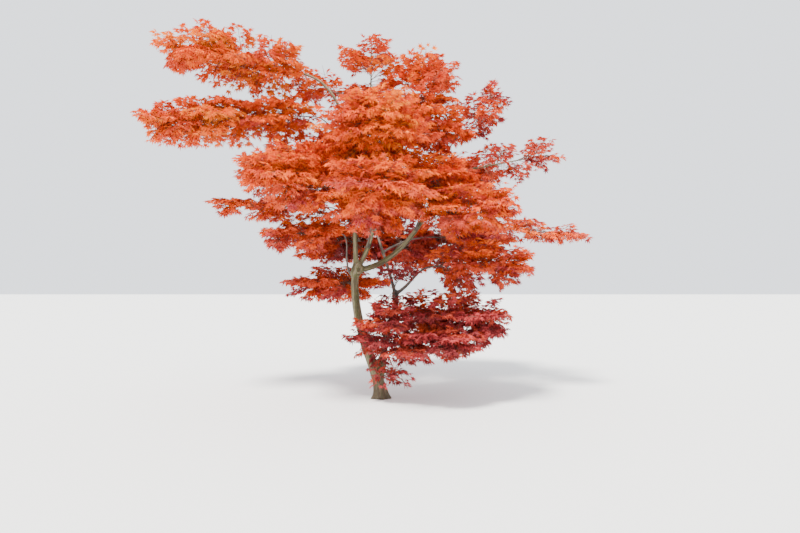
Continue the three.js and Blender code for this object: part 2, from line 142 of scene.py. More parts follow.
class Line:
    """A line through dense points, read at any share of its own length."""

    def __init__(self, points):
        self.points = np.asarray(points, float)
        steps = np.linalg.norm(np.diff(self.points, axis=0), axis=1)
        self.along = np.concatenate([[0.0], np.cumsum(steps)])
        self.length = self.along[-1]

    def at(self, share):
        """The point at each share, read off between the dense points."""
        where = np.asarray(share, float) * self.length
        return np.stack([np.interp(where, self.along, self.points[:, k]) for k in range(3)], -1)

    def heading(self, share):
        """The direction of the short chord round each share."""
        share = np.asarray(share, float)
        return unit(self.at(np.minimum(share + 0.01, 1)) - self.at(np.maximum(share - 0.01, 0)))


def through(corners):
    """A smooth line through corners. Between two corners it is a cubic, and its slope at each is that
    of a parabola through the corner and its neighbours, at knots spaced by the root of their distance."""
    p = np.array([(x, 0, z) for x, z in corners], float)
    p = np.vstack([2 * p[0] - p[1], p, 2 * p[-1] - p[-2]])
    gap = np.sqrt(np.linalg.norm(np.diff(p, axis=0), axis=1))[:, None]
    speed = np.diff(p, axis=0) / gap
    slope = speed[:-1] - (p[2:] - p[:-2]) / (gap[:-1] + gap[1:]) + speed[1:]
    t = np.linspace(0, 1, STEM_STEPS, endpoint=False)[:, None, None]
    start, end = p[1:-2], p[2:-1]
    leave, arrive = slope[:-1] * gap[1:-1], slope[1:] * gap[1:-1]
    cubic = (2 * t**3 - 3 * t**2 + 1) * start + (t**3 - 2 * t**2 + t) * leave
    cubic += (3 * t**2 - 2 * t**3) * end + (t**3 - t**2) * arrive
    return np.vstack([cubic.transpose(1, 0, 2).reshape(-1, 3), p[-2]])


def bezier(*corners):
    """Dense points of the curve that corners pull into one bend: neighbours are mixed by t, and their
    mixes again, until one point is left."""
    t = np.linspace(0, 1, BOUGH_STEPS)[:, None]
    points = [np.broadcast_to(c, (len(t), 3)) for c in corners]
    while len(points) > 1:
        points = [a * (1 - t) + b * t for a, b in zip(points, points[1:])]
    return points[0]


lines = {"trunk": Line(through(TRUNK_LEAN)), "second_stem": Line(through(SECOND_STEM_LEAN))}
for name, (parent, share, angle, out, height, _, upright, (heading, pitch, *_), _, _) in BOUGHS.items():
    start = lines[parent].at(share)
    tip = bearing(angle, 0) * out + UP * height
    reach = np.linalg.norm(tip - start)
    level = unit((tip - start) * (1, 1, 0))
    away = unit(level * (1 - upright) + UP * upright)
    before_tip = tip - bearing(heading, pitch * ARRIVE_PITCH) * reach * ARRIVE
    lines[name] = Line(bezier(start, start + away * reach * SET_OFF, before_tip, tip))

# The wood: one skin of bark over each stem and bough, run on past the bough's tip as the stem of its
# spray. The bark is olive brown on the trunk and its leaders and darker on the rest, which is partly a
# browner bark of their own and partly painted shade under the crown, with long shallow furrows, a
# collar at each fork and five ridges at the foot.
TRUNK_RADIUS, TRUNK_TAPER = 0.08, 0.044
FOOT_FLARE, FLARE_HEIGHT = 0.034, 0.07
ROOT_RIDGES, RIDGE_DEPTH, RIDGE_TURN = 5, 0.35, 0.8
SECOND_STEM_RADIUS, SECOND_STEM_TAPER = 0.043, 0.015
STEM_SPRAY_RADIUS, STEM_SPRAY_PITCH = 0.007, 25  # where the stem of a spray with no bough sets off
BOUGH_TIP_SHARE, BOUGH_TIP_LEAST = 0.38, 0.005  # a bough's radius at its tip, of its first one and at least
TWIG_END_RADIUS = 0.0022
# The stem of a spray: its length, where it bends, both of the spray's length, and its rise, of the depth.
SPRAY_STEM_SHARE, SPRAY_STEM_BEND, SPRAY_STEM_RISE = 0.86, 0.3, 0.04
SAMPLE_GAP = 0.012
NEAR_BOX = 0.1  # room round a limb within which its distance is asked for
CORNER_GAP, CORNER_RANGE = 0.0042, (9, 120)  # between two corners round a limb, and how many there may be
RING_GAP, RING_GAP_RANGE = 0.13, (0.006, 0.02)  # between two rings, in radii, and its range in metres
COLLAR, COLLAR_MOST = 1.6, 1.9  # how far a collar reaches, and how much wider it may be, in radii
COLLAR_STEPS = 7
GRAIN_TWIST = 1.3  # radians for each metre
GRAIN_SCALE, SWELL_SCALE = (5.5, 7), (1.1, 5)  # of the noise round a limb and along it
FINER, FINE_SHIFT = (2.3, 2.3, 2.6), 31  # from the noise of the long furrows to that of the fine ones
SWELL, FURROW = 0.16, 0.055  # swelling and depth of the deepest furrows, as shares of the radius
THIN, SMOOTH, FURROWED = 0.004, 0.02, 0.05  # radii between which the relief grows to its full depth
STREAK_SHIFT = 3.1  # for each letter of a limb's name, which sets its streaks apart from another's
FOOT_PULL = 0.5  # how far in the lowest points go at the foot's cut
PALE_LIMBS = ("trunk", "left_leader", "right_leader", "right_spreader")


def rounded(from_end, least, slope):
    """The share of the radius near a limb's end: least at the end, and rising by a slope to the whole."""
    return np.minimum(1, least + from_end * slope)


def trunk_radius(share, angle):
    """A taper by the root of the share, a root flare in ridges that dies away above the ground, and a
    rounded end."""
    height = share * lines["trunk"].length - BELOW_GROUND
    flare = np.exp(-np.maximum(height, 0) / FLARE_HEIGHT)
    ridge = 1 + RIDGE_DEPTH * np.cos(ROOT_RIDGES * angle + RIDGE_TURN)
    radius = TRUNK_RADIUS - TRUNK_TAPER * np.sqrt(share) + FOOT_FLARE * flare * ridge
    return radius * rounded(1 - share, least=0.72, slope=9)


def second_radius(share, angle):
    """An even taper that starts thin inside the trunk and has a rounded end."""
    ends = rounded(1 - share, least=0.75, slope=7) * rounded(share, least=0.35, slope=6)
    return (SECOND_STEM_RADIUS - SECOND_STEM_TAPER * share) * ends + 0 * angle


def tapering(radius, tip_share):
    """An even taper to the bough's tip, at tip_share of the line, and a finer one to the spray's end."""
    tip = max(BOUGH_TIP_LEAST, radius * BOUGH_TIP_SHARE)

    def radius_at(share, angle):
        bough = radius + (tip - radius) * share / max(tip_share, 1e-6)
        spray = tip + (TWIG_END_RADIUS - tip) * (share - tip_share) / (1 - tip_share)
        return np.where(share < tip_share, bough, spray) + 0 * angle

    return radius_at


def lattice(corner):
    """A draw between 0 and 1 for each whole-numbered corner of a 3-D lattice: its three numbers times
    large primes, with their bits mixed."""
    x, y, z = (corner[..., k].astype(np.int64) for k in range(3))
    mixed = (x * 73856093) ^ (y * 19349663) ^ (z * 83492791)
    mixed = (mixed ^ (mixed >> 13)) * 1274126177
    return ((mixed ^ (mixed >> 16)) & 0xFFFF) / 0xFFFF


def noise(points):
    """Smooth noise between 0 and 1: the draws at the eight corners round each point, mixed with an
    S-shaped weight along each axis."""
    low = np.floor(points)
    f = points - low
    f = f * f * (3 - 2 * f)
    total = 0
    for corner in np.ndindex(2, 2, 2):
        weight = np.prod(np.where(corner, f, 1 - f), axis=-1)
        total = total + weight * lattice(low + corner)
    return total


def ring_frame(line, shares):
    """Two directions across a line at each share: one level, as nearly as the line lets it, and one
    square to that."""
    chord = line.points[-1] - line.points[0]
    flat = unit(np.cross(UP, chord + (1e-6, 0, 0)))
    tangent = line.heading(shares)
    side = unit(flat - (tangent @ flat)[:, None] * tangent)
    return side, np.cross(tangent, side)


class Limb:
    """A line with a radius, sampled along it, that can say how far a point is from its skin."""

    BATCH = 20000  # points measured at once, which bounds the memory

    def __init__(self, line, radius_at):
        self.line, self.radius_at = line, radius_at
        shares = np.linspace(0, 1, max(8, int(line.length / SAMPLE_GAP)))
        self.spots = line.at(shares)
        self.tangent = line.heading(shares)
        self.radii = np.mean([radius_at(shares, a) for a in np.arange(8) * np.pi / 4], axis=0)
        self.gap = line.length / (len(shares) - 1)
        self.low, self.high = self.spots.min(0) - NEAR_BOX, self.spots.max(0) + NEAR_BOX

    def distance(self, points):
        """From each point to the skin: to the nearest sample's own stretch of line, less its radius."""
        nearest = np.zeros(len(points), int)
        for part in range(0, len(points), self.BATCH):
            p = points[part : part + self.BATCH]
            square = (p**2).sum(1)[:, None] + (self.spots**2).sum(1) - 2 * p @ self.spots.T
            nearest[part : part + self.BATCH] = (np.sqrt(np.maximum(square, 0)) - self.radii).argmin(1)
        away = points - self.spots[nearest]
        along = np.clip((away * self.tangent[nearest]).sum(1), -self.gap / 2, self.gap / 2)
        return np.linalg.norm(away - along[:, None] * self.tangent[nearest], axis=1) - self.radii[nearest]


limbs = {
    "trunk": Limb(lines["trunk"], trunk_radius),
    "second_stem": Limb(lines["second_stem"], second_radius),
}
spray_stems = {}
for name, row in BOUGHS.items():
    heading, pitch, long, _, deep = row[7]
    tip, set_off = lines[name].at(1), lines[name].heading(1)
    end = tip + bearing(heading, pitch) * long * SPRAY_STEM_SHARE
    bend = tip + set_off * long * SPRAY_STEM_BEND + UP * deep * SPRAY_STEM_RISE
    spray_stems[name] = Line(bezier(tip, bend, end))
    whole = Line(np.vstack([lines[name].points[:-1], spray_stems[name].points]))
    limbs[name] = Limb(whole, tapering(row[5], lines[name].length / whole.length))
for name, (stem, share, (heading, pitch, long, _, deep), _, _) in STEM_SPRAYS.items():
    root = lines[stem].at(share)
    end = root + bearing(heading, pitch) * long * SPRAY_STEM_SHARE
    bend = root + bearing(heading, STEM_SPRAY_PITCH) * long * SPRAY_STEM_BEND + UP * deep * SPRAY_STEM_RISE
    spray_stems[name] = Line(bezier(root, bend, end))
    limbs[name] = Limb(spray_stems[name], tapering(STEM_SPRAY_RADIUS, 0))


def bark_skin(name, limb):
    """Rings of points round a limb. Each point goes out to the limb's radius. Near another limb it goes
    further, to where the smaller of its distances from the two skins, less a part that grows as the
    two come closer to each other, is nought: that makes the hollow smooth. Last come the furrows, which
    are noise drawn out along the limb and folded into sharp valleys."""
    line = limb.line
    thick = limb.radii.max()
    sides = int(np.clip(thick * 2 * np.pi / CORNER_GAP, *CORNER_RANGE))
    rings = int(line.length / np.clip(thick * RING_GAP, *RING_GAP_RANGE))
    shares = np.linspace(0, 1, rings)
    angles = np.arange(sides) * 2 * np.pi / sides
    side, rise = ring_frame(line, shares)
    spokes = side[:, None] * np.cos(angles)[:, None] - rise[:, None] * np.sin(angles)[:, None]
    radius = limb.radius_at(shares[:, None], angles[None])
    centre = np.broadcast_to(line.at(shares)[:, None], spokes.shape).reshape(-1, 3)
    spokes = spokes.reshape(-1, 3)
    out = radius.reshape(-1).copy()
    skin = centre + spokes * out[:, None]
    for other in limbs.values():
        if other is limb or (other.low > skin.max(0)).any() or (other.high < skin.min(0)).any():
            continue
        blend = COLLAR * min(thick, other.radii[0])
        near = np.flatnonzero(((skin > other.low) & (skin < other.high)).all(1))
        near = near[other.distance(skin[near]) < blend]
        reach = out[near].copy()
        for _ in range(COLLAR_STEPS):
            own = reach - out[near]
            foreign = other.distance(centre[near] + spokes[near] * reach[:, None])
            overlap = np.maximum(blend - np.abs(own - foreign), 0) / blend
            field = np.minimum(own, foreign) - overlap**2 * blend / 4
            reach = np.clip(reach - field, out[near], out[near] * COLLAR_MOST)
        out[near] = np.maximum(out[near], reach)
    height = np.repeat(shares * line.length, sides)
    turn = np.tile(angles, rings) + height * GRAIN_TWIST
    own_shift = len(name)  # so that limbs side by side don't share one pattern

    def wrapped(wide, long, shift):
        """Places in a pattern that is wrapped round the limb: so wide, drawn out so long and shifted."""
        return np.stack([np.cos(turn) * wide, np.sin(turn) * wide, height * long + shift], -1)

    grain = wrapped(*GRAIN_SCALE, own_shift)
    furrow = np.abs(noise(grain) - 0.5) * 2
    fine = np.abs(noise(grain * FINER + FINE_SHIFT) - 0.5) * 2
    swell = noise(wrapped(*SWELL_SCALE, own_shift)) - 0.5
    strength = out / np.maximum(out, SMOOTH) * np.sqrt(np.maximum(out, THIN) / FURROWED)
    relief = 1 + strength * (swell * SWELL - FURROW * (1 - furrow) ** 3 - FURROW * 0.5 * (1 - fine) ** 4)
    points = centre + spokes * (out * relief)[:, None]
    streak_places = wrapped(out, 1, STREAK_SHIFT * own_shift)
    return points.reshape(rings, sides, 3), streak_places.reshape(rings, sides, 3)


def closed_rings(grids):
    """Corners and faces of several closed tubes: quads between neighbouring rings, and a fan of
    triangles to one point at each end."""
    corners, quads, fans, start = [], [], [], 0
    for grid in grids:
        rings, sides = grid.shape[:2]
        corners += [grid.reshape(-1, 3), grid[:1].mean(1), grid[-1:].mean(1)]
        ring = np.arange(rings - 1)[:, None] * sides + start
        spot = np.arange(sides)
        after = (spot + 1) % sides
        quads.append(np.stack([ring + spot, ring + after, ring + sides + after, ring + sides + spot], -1))
        foot, top, last = start + rings * sides, start + rings * sides + 1, start + (rings - 1) * sides
        fans.append(np.stack([start + after, start + spot, np.full(sides, foot)], -1))
        fans.append(np.stack([last + spot, last + after, np.full(sides, top)], -1))
        start += rings * sides + 2
    return np.vstack(corners), np.vstack([q.reshape(-1, 4) for q in quads]), np.vstack(fans)


def make_piece(name, corners, quads, triangles, smooth):
    """A piece from arrays of corners, quads and triangles, all in the place where they stand."""
    mesh = bpy.data.meshes.new(name)
    mesh.vertices.add(len(corners))
    mesh.vertices.foreach_set("co", np.ascontiguousarray(corners, np.float32).ravel())
    loops = np.concatenate([quads.ravel(), triangles.ravel()]).astype(np.int32)
    sizes = np.concatenate([np.full(len(quads), 4), np.full(len(triangles), 3)]).astype(np.int32)
    mesh.loops.add(len(loops))
    mesh.loops.foreach_set("vertex_index", loops)
    mesh.polygons.add(len(sizes))
    mesh.polygons.foreach_set("loop_start", np.concatenate([[0], np.cumsum(sizes)[:-1]]).astype(np.int32))
    mesh.polygons.foreach_set("loop_total", sizes)
    mesh.polygons.foreach_set("use_smooth", np.full(len(sizes), smooth))
    mesh.update(calc_edges=True)
    mesh.validate()
    piece = bpy.data.objects.new(name, mesh)
    bpy.context.scene.collection.objects.link(piece)
    return piece


class Term:
    """A socket in a sum: each operator adds the Math node that works it out."""

    def __init__(self, finish, socket):
        self.finish, self.socket = finish, socket

    def maths(self, operation, *others):
        return self.finish.node("Math", {"operation": operation}, *others)

    def __add__(self, other):
        return self.maths("ADD", self, other)

    def __sub__(self, other):
        return self.maths("SUBTRACT", self, other)

    def __rsub__(self, other):
        return self.maths("SUBTRACT", other, self)

    def __mul__(self, other):
        return self.maths("MULTIPLY", self, other)

    __radd__, __rmul__ = __add__, __mul__


class Finish:
    """A material whose nodes are added one by one. shader is its Principled BSDF."""

    def __init__(self, name):
        self.material = bpy.data.materials.new(name)
        self.material.use_nodes = True
        self.shader = self.material.node_tree.nodes["Principled BSDF"]

    def node(self, kind, settings, *values, output=None):
        """A node of a kind, with its settings, then the values or links of its sockets in turn. Gives
        its first output, or the one named."""
        node = self.material.node_tree.nodes.new("ShaderNode" + kind)
        for key, value in settings.items():
            setattr(node, key, value)
        for socket, value in zip([s for s in node.inputs if s.enabled], values):
            self.feed(socket, value)
        outputs = [s for s in node.outputs if s.enabled and output in (None, s.name)]
        return Term(self, outputs[0])

    def feed(self, socket, value):
        """A link or a value for a socket. None leaves it as it is."""
        if isinstance(value, Term):
            self.material.node_tree.links.new(value.socket, socket)
        elif value is not None:
            socket.default_value = value

    def give(self, **values):
        """Values or links for the shader's own sockets, named with _ for a space."""
        for key, value in values.items():
            self.feed(self.shader.inputs[key.replace("_", " ")], value)

    def place(self):
        """Where each point lies on the tree."""
        return self.node("TexCoord", {}, output="Object")

    def speckle(self, place, scale, detail, roughness=0.6):
        """Noise between 0 and 1 over the places: scale makes it finer, detail and roughness richer."""
        return self.node("TexNoise", {}, place, scale, detail, roughness)

    def ramp(self, value, low, high):
        """From 0 at low to 1 at high, by an S-shaped curve."""
        return self.node("MapRange", {"interpolation_type": "SMOOTHSTEP"}, value, low, high)

    def bump(self, strength, distance, height):
        """The normal, tilted by the slope of a height that is worth distance in metres."""
        return self.node("Bump", {}, strength, distance, None, height)

    def mix(self, share, one, other):
        """From one colour to the other, by a share between 0 and 1."""
        colours = [c if isinstance(c, Term) else (*c, 1) for c in (one, other)]
        return self.node("Mix", {"data_type": "RGBA"}, share, *colours)


def linear(hexcode):
    """A written colour, such as 8A8468, as linear light."""
    c = np.array([int(hexcode[i : i + 2], 16) for i in (0, 2, 4)]) / 255
    return tuple(float(v) for v in np.where(c < 0.04045, c / 12.92, ((c + 0.055) / 1.055) ** 2.4))


def bark(name, upper, foot):
    """Bark whose four colours, its base, streaks, furrows and blotches, change from those of the upper
    tree to those of the foot: pale streaks and dark furrows drawn out along the limb, blotches of a
    greener shade, and a darker brown band of painted shade towards the ground."""
    finish = Finish(name)
    grain = finish.node("Attribute", {"attribute_name": "grain"}, output="Vector")
    place = finish.place()
    height = finish.node("SeparateXYZ", {}, place, output="Z")

    def streaks(scale, stretch, detail):
        drawn_out = finish.node("Mapping", {}, grain, None, None, (1, 1, stretch))
        return finish.speckle(drawn_out, scale, detail)

    long_streaks = finish.ramp(streaks(scale=34, stretch=0.1, detail=3), 0.45, 0.58)
    fine_streaks = finish.ramp(streaks(scale=260, stretch=0.12, detail=4), 0.48, 0.7)
    blotches = finish.ramp(finish.speckle(place, scale=14, detail=3), 0.45, 0.65)
    at_foot = finish.ramp(height, *FOOT_BAND)
    foot_shade = finish.ramp(height, FOOT_SHADE_HEIGHT, 0)
    base, pale, furrow, moss = (finish.mix(at_foot, *pair) for pair in zip(upper, foot))
    colour = finish.mix(blotches * 0.7, base, moss)
    colour = finish.mix(long_streaks * 0.75, colour, pale)
    colour = finish.mix(fine_streaks * 0.75, colour, furrow)
    # painted shade: the bark darkens to a brown towards the ground
    colour = finish.mix(foot_shade * 0.7, colour, FOOT_SHADE_BROWN)
    relief = finish.bump(0.5, 0.004, long_streaks * 0.5 - fine_streaks * 0.6)
    finish.give(Base_Color=colour, Roughness=0.72 + long_streaks * 0.14, Normal=relief)
    finish.give(Specular_IOR_Level=0.3)
    return finish.material


def set_grain(piece, along):
    """The place along and round the limb at each corner, for streaks that follow it."""
    attribute = piece.data.attributes.new("grain", "FLOAT_VECTOR", "POINT")
    attribute.data.foreach_set("vector", np.ascontiguousarray(along, np.float32).ravel())


def cut_at_ground(grid):
    """The foot's flat cut: points below the ground are pushed up to it, and inwards by their depth."""
    depth = np.maximum(-grid[..., 2:], 0)
    inwards = 1 - depth / BELOW_GROUND * FOOT_PULL
    return np.concatenate([grid[..., :2] * inwards, grid[..., 2:] + depth], -1)


def wood_piece(name, names, material):
    """One piece of bark for several limbs, in place of their CAD nodes."""
    skins = {n: bark_skin(n, limbs[n]) for n in names}
    corners, quads, fans = closed_rings([cut_at_ground(points) for points, _ in skins.values()])
    along, _, _ = closed_rings([grain for _, grain in skins.values()])
    piece = make_piece(name, corners, quads, fans, True)
    set_grain(piece, along)
    piece.data.materials.append(material)
    nodes = [n if n in ("trunk", "second_stem") else f"bough_{n}" for n in names if n not in STEM_SPRAYS]
    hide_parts(*nodes)
    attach(piece, "root")


# Painted shade at the foot: the darker brown that the bark takes on below this height
FOOT_SHADE_BROWN, FOOT_SHADE_HEIGHT = linear("43342A"), 0.36
FOOT_BAND = (0.55, 0.25)  # heights between which the upper colours give way to those of the foot
# The base, the streaks, the furrows and the blotches.
PALE_COLOURS = [linear(c) for c in ("554C36", "8C8468", "2E271C", "5F6238")]
# The darker bark of the second stem and the boughs: partly their own browner colour, partly painted shade.
DARK_SHADED_COLOURS = [linear(c) for c in ("544A45", "7C726A", "2B2422", "4A452E")]
pale_bark = bark("pale bark", PALE_COLOURS, PALE_COLOURS)
dark_shaded_bark = bark("dark shaded bark", DARK_SHADED_COLOURS, PALE_COLOURS)
DARK_LIMBS = [n for n in limbs if n not in PALE_LIMBS]
wood_piece("bark_of_trunk", PALE_LIMBS, pale_bark)
wood_piece("bark_of_left_boughs", [n for n in DARK_LIMBS if "left" in n], dark_shaded_bark)
wood_piece("bark_of_right_boughs", [n for n in DARK_LIMBS if "left" not in n], dark_shaded_bark)

# The twigs: from each spray's stem, arching twigs that level out into flat tiers, one above another,
# with opposite twiglets all along them. They are thin, smooth and red brown, and keep to the space
# that the spray's CAD node has.
GOLDEN, PLASTIC = 0.618034, 0.754878  # shares that spread twigs evenly along a stem, and round it
TWIG_PATCH = 0.014  # square metres of a spray's length by width for each twig
THINNED = 0.4  # the share of a spray's twigs that goes by its fullness
STEM_START, STEM_SPAN = 0.05, 0.94  # where a stem's twigs start, and the share of it that bears them
TWIG_ANGLES, TWIG_ANGLE_SPREAD = (88, 38), 24  # degrees from the stem at its start and end
TWIG_SHORTFALL, SHORTEST_TWIG = 0.4, 0.09  # the share of its room that a twig may leave, and a least length
TWIG_STEPS, TWIG_LIFT, TWIG_BEND = 7, 0.12, 0.55  # points, rise where it sets off, and where it bends
TIER, TIER_SHIFT = 0.15, 0.3  # height between two tiers, and the shift from spray to spray, in tiers
TIER_PULL, TIER_SCATTER = 0.8, 0.012  # how much of the way to its tier an end goes, and how even the tier is
TWIGLET_GAP, TWIGLET_SCATTER = 0.062, 0.6  # between two pairs, and how many gaps a pair may slip
BARE_START, LAST_PAIR = 0.2, 0.98  # shares of a twig
TWIGLET_ANGLE, TWIGLET_ANGLE_SCATTER = 52, 14  # degrees from the twig
TWIGLET_LIFT = (0.02, 0.16)  # mean and scatter
TWIGLET_LEAST, TWIGLET_MORE, FULL_TWIG = 0.065, 0.1, 0.3  # lengths, with more towards a full twig's root
TWIGLET_SPREAD, TWIGLET_SAG, END_TWIGLET = 0.5, 0.5, 0.05  # of their lengths, of their tips, and the last one
TWIG_RADII, TWIGLET_RADII = (0.0042, 0.0016), (0.0016, 0.0008)  # at the root and the end
STEEP = 0.9  # rise of a unit chord past which a tube can't be set square to the upright
BEHIND_SHARE = 0.12  # of a spray's space that lies behind its root
SPACE_MARGIN, END_MARGIN = 1.12, 1.3  # how far out twiglets and leaves may lie, and the ends of twigs
RIVAL_SHARE = 0.84  # how much nearer the middle of another spray's space it may lie than that of its own
LOWEST_LEAF = 0.06  # height
ALMOST_UP = UP + 0.001  # never parallel to a twig
rng = np.random.default_rng(7)


class Space:
    """A spray's own space: an ellipsoid whose far end lies long ahead of the point where its stem
    starts, and whose near end lies a little behind it."""

    def __init__(self, root, heading, pitch, long, wide, deep):
        self.ahead = bearing(heading, pitch)
        self.across = unit(np.cross(UP, self.ahead))
        self.above = np.cross(self.ahead, self.across)
        whole = long / (1 - BEHIND_SHARE)
        self.centre = root + self.ahead * (long - whole / 2)
        self.long, self.wide, self.deep = long, wide, deep
        self.scale = np.stack([self.ahead / whole, self.across / wide, self.above / deep], 1) * 2

    def depth(self, points):
        """How far out each point lies, where 1 is the ellipsoid's surface."""
        return np.linalg.norm((points - self.centre) @ self.scale, axis=-1)

    def room(self, points, directions):
        """How far a line from each point goes before it meets the surface: the root of a quadratic."""
        p, d = (points - self.centre) @ self.scale, directions @ self.scale
        a, b, c = (d * d).sum(-1), (p * d).sum(-1), (p * p).sum(-1) - 1
        return np.maximum((-b + np.sqrt(np.maximum(b * b - a * c, 0))) / a, 0)


sizes = {n: row[7] for n, row in BOUGHS.items()} | {n: row[2] for n, row in STEM_SPRAYS.items()}
spaces = {n: Space(spray_stems[n].at(0), *size) for n, size in sizes.items()}
tint_of = {n: row[-2] for n, row in (BOUGHS | STEM_SPRAYS).items()}
fullness = {n: row[-1] for n, row in (BOUGHS | STEM_SPRAYS).items()}


def owned(name, points):
    """Whether points lie in a spray's own space and the CAD's box, above the ground, and not well
    nearer to the middle of another spray than to its own."""
    own = spaces[name].depth(points)
    keep = (own < SPACE_MARGIN) & (points[:, 2] > LOWEST_LEAF)
    keep &= (points > cad_box[0]).all(1) & (points < cad_box[1]).all(1)
    for other, space in spaces.items():
        if other != name:
            keep &= space.depth(points) > np.minimum(own, 1) * RIVAL_SHARE
    return keep


def arching(starts, directions, reaches, ends):
    """Twig lines: parabolas that set off from their starts along their directions and go to their
    ends."""
    t = np.linspace(0, 1, TWIG_STEPS)[None, :, None]
    middle = starts + directions * reaches[:, None] * TWIG_BEND
    return (1 - t) ** 2 * starts[:, None] + 2 * t * (1 - t) * middle[:, None] + t**2 * ends[:, None]


def grow_twigs(key, name):
    """Twigs all round a spray's stem, nearly as long as the spray's space lets them be. The height of
    each end is pulled to the nearest tier."""
    space = spaces[name]
    full = 1 - THINNED + THINNED * fullness[name]
    count = int(round(space.long * space.wide / TWIG_PATCH * full))
    i = np.arange(1, count + 1)
    share = STEM_START + STEM_SPAN * ((i * GOLDEN) % 1)
    roll = 2 * np.pi * ((i * PLASTIC + key * GOLDEN) % 1)
    to_side = space.across * (np.cos(roll) * space.wide)[:, None]
    sideways = unit(to_side + space.above * (np.sin(roll) * space.deep)[:, None])
    angle = TWIG_ANGLES[0] + (TWIG_ANGLES[1] - TWIG_ANGLES[0]) * share
    spread = np.radians(angle + TWIG_ANGLE_SPREAD * (rng.random(count) - 0.5))[:, None]
    direction = unit(space.ahead * np.cos(spread) + sideways * np.sin(spread))
    start = spray_stems[name].at(share)
    reach = space.room(start, direction) * (1 - TWIG_SHORTFALL * rng.random(count) ** 1.5)
    reach = np.maximum(reach, SHORTEST_TWIG)
    end = start + direction * reach[:, None]
    tier = np.round(end[:, 2] / TIER + TIER_SHIFT * key) * TIER - TIER_SHIFT * key * TIER
    end[:, 2] += (tier + rng.normal(0, TIER_SCATTER, count) - end[:, 2]) * TIER_PULL
    twigs = arching(start, direction + UP * TWIG_LIFT, reach, end)
    past_middle = twigs[:, TWIG_STEPS // 2 + 1]
    keep = owned(name, end) | (owned(name, past_middle) & (space.depth(end) < END_MARGIN))
    return twigs[keep], reach[keep]


def grow_twiglets(name, twigs, reach):
    """Twiglets in opposite pairs that shorten towards the twig's end, with one at the end itself: their
    roots, their tips, and the number of the twig that bears each."""
    pairs = np.maximum((reach / TWIGLET_GAP).astype(int), 1)
    owner = np.repeat(np.arange(len(twigs)), pairs)
    order = np.concatenate([np.arange(n) for n in pairs])
    order = order + TWIGLET_SCATTER * rng.random(len(order))
    place = np.clip(BARE_START + (1 - BARE_START) * order / pairs[owner], 0, LAST_PAIR)
    owner, place = np.repeat(owner, 2), np.repeat(place, 2)
    hand = np.tile([1.0, -1.0], len(owner) // 2)
    spot = place * (TWIG_STEPS - 1)
    low = np.minimum(spot.astype(int), TWIG_STEPS - 2)
    part = (spot - low)[:, None]
    root = twigs[owner, low] * (1 - part) + twigs[owner, low + 1] * part
    forward = unit(twigs[owner, low + 1] - twigs[owner, low])
    level_side = unit(np.cross(forward, ALMOST_UP)) * hand[:, None]
    turn = np.radians(TWIGLET_ANGLE + TWIGLET_ANGLE_SCATTER * rng.normal(size=len(owner)))[:, None]
    lift = rng.normal(*TWIGLET_LIFT, len(owner))[:, None]
    way = unit(forward * np.cos(turn) + level_side * np.sin(turn) + UP * lift)
    length = TWIGLET_LEAST + TWIGLET_MORE * (1 - place) * np.minimum(reach[owner] / FULL_TWIG, 1)
    length *= 1 - TWIGLET_SPREAD / 2 + TWIGLET_SPREAD * rng.random(len(owner))
    tip = root + way * length[:, None] - UP * (length**2 * TWIGLET_SAG)[:, None]
    ends = twigs[:, -1] + unit(twigs[:, -1] - twigs[:, -2]) * END_TWIGLET
    root, tip = np.vstack([root, twigs[:, -1]]), np.vstack([tip, ends])
    owner = np.concatenate([owner, np.arange(len(twigs))])
    keep = owned(name, (root + tip) / 2)
    return root[keep], tip[keep], owner[keep]


twig_lines, twiglet_lines, shoots = [], [], []
for key, name in enumerate(spaces, 1):
    twigs, reach = grow_twigs(key, name)
    root, tip, owner = grow_twiglets(name, twigs, reach)
    twig_lines.append(twigs)
    twiglet_lines.append(np.stack([root, tip], 1))
    shoots.append((name, root, tip, owner, len(twigs)))


def thin_tubes(paths, thick, thin):
    """Three-sided tubes along many paths of equal count, tapering from thick to thin, each closed by a
    triangle at both ends. Their roots are sunk in what carries them."""
    count, steps, _ = paths.shape
    forward = unit(np.gradient(paths, axis=1))
    chord = unit(paths[:, -1] - paths[:, 0])
    aside = np.where(np.abs(chord[:, 2:]) > STEEP, np.array([[1.0, 0, 0]]), UP[None])
    side = unit(np.cross(forward, aside[:, None]))
    rise = np.cross(side, forward)
    radius = np.linspace(1, 0, steps)[None, :, None, None] * (thick - thin) + thin
    angle = np.arange(3) * 2 * np.pi / 3 + np.pi / 2
    spokes = side[:, :, None] * np.cos(angle)[:, None] + rise[:, :, None] * np.sin(angle)[:, None]
    corners = paths[:, :, None] + spokes * radius
    ring = np.arange(steps - 1)[:, None] * 3
    spot = np.arange(3)
    after = (spot + 1) % 3
    quad = np.stack([ring + spot, ring + spot + 3, ring + after + 3, ring + after], -1).reshape(-1, 4)
    start = np.arange(count)[:, None, None] * steps * 3
    cap = np.array([[0, 1, 2], [3 * steps - 1, 3 * steps - 2, 3 * steps - 3]])
    return corners.reshape(-1, 3), (quad + start).reshape(-1, 4), (cap + start).reshape(-1, 3)


def twig_piece(name, paths, radii):
    """One piece of thin tubes in young bark."""
    piece = make_piece(name, *thin_tubes(np.vstack(paths), *radii), True)
    piece.data.materials.append(young_bark.material)
    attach(piece, "root")


young_bark = Finish("young bark")
mottle = young_bark.speckle(young_bark.place(), scale=120, detail=2, roughness=0.5)
young_bark.give(Base_Color=young_bark.mix(mottle, linear("5B3A2E"), linear("85604A")), Roughness=0.55)
twig_piece("twigs", twig_lines, TWIG_RADII)
twig_piece("twiglets", twiglet_lines, TWIGLET_RADII)
